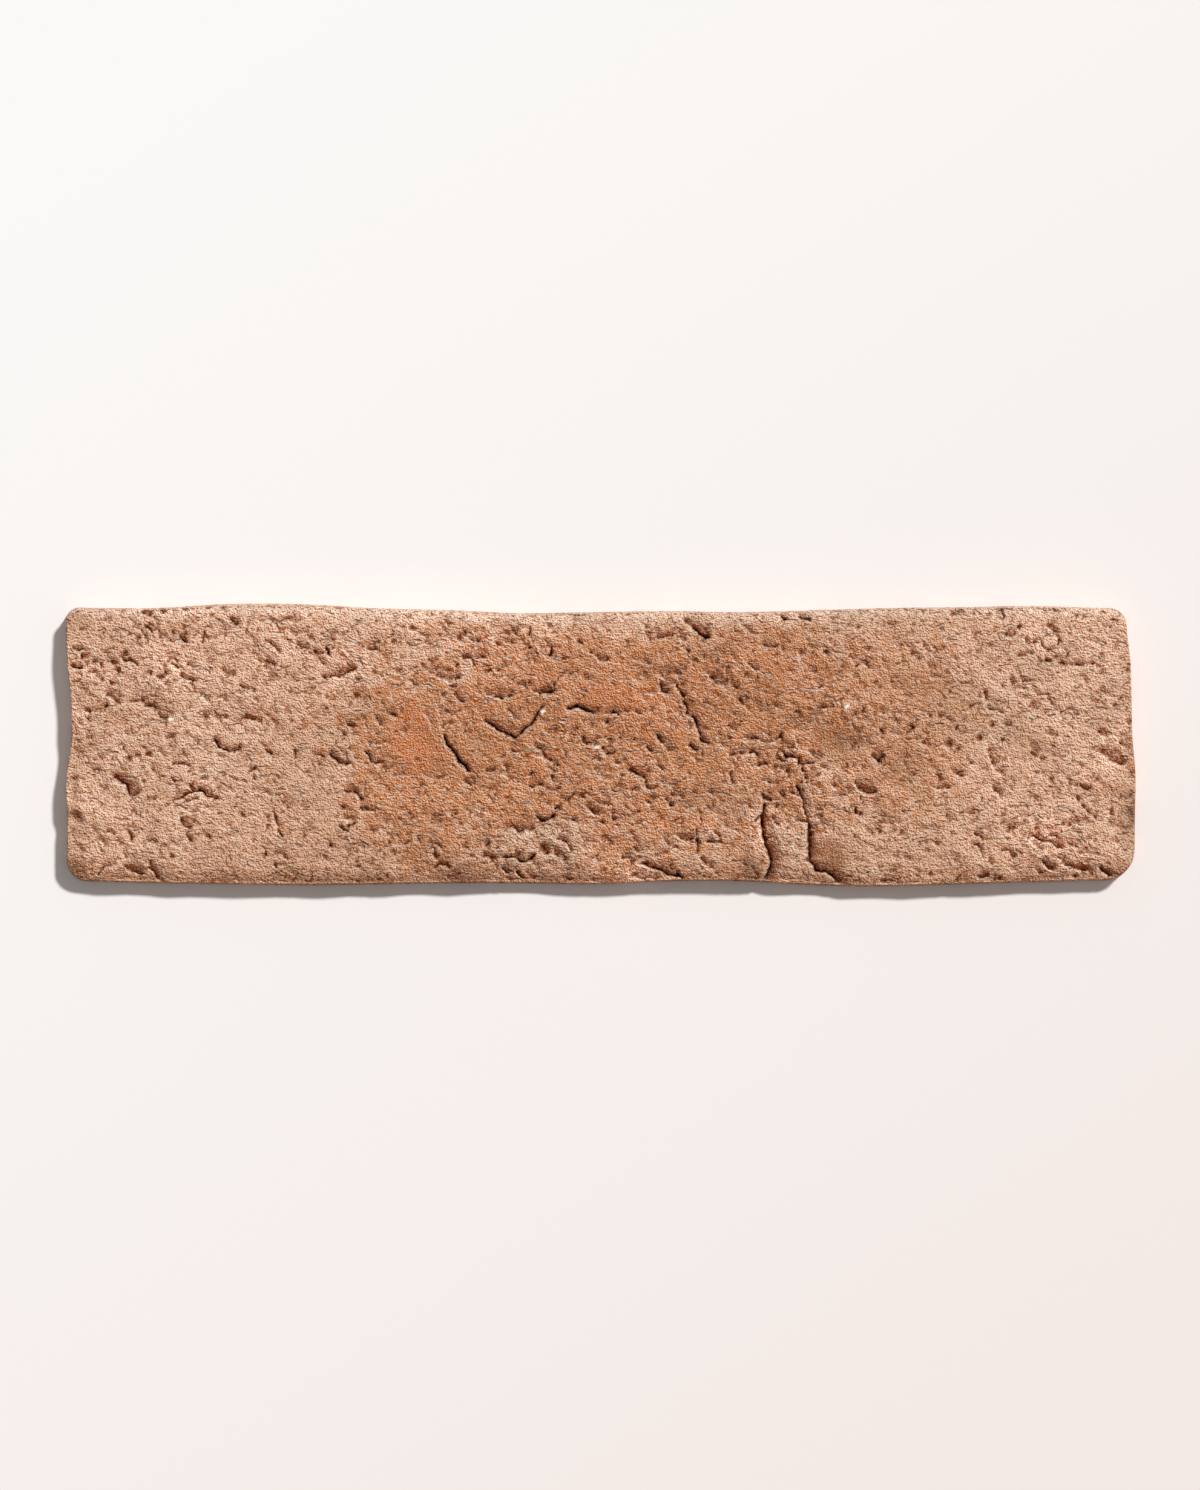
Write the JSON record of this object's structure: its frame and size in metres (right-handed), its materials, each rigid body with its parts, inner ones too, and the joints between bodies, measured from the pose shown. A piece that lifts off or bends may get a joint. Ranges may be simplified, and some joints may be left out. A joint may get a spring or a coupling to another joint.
{
  "type": "porcelain floor tile",
  "caption": "Long narrow brick-effect porcelain floor tile with a wandering worn edge, a cracked, gouged and sandy clay-coloured face and a keyed flat back.",
  "frame": {"origin": "middle of the tile's bounding box, on the flat back", "axes": "+X along the length, +Y across the width, +Z out of the face, away from the back"},
  "size_m": [0.28, 0.074, 0.009],
  "materials": {
    "tile": "unglazed matt, sandy"
  },
  "bodies": {
    "root": {"tile": "tile"}
  },
  "joints": []
}
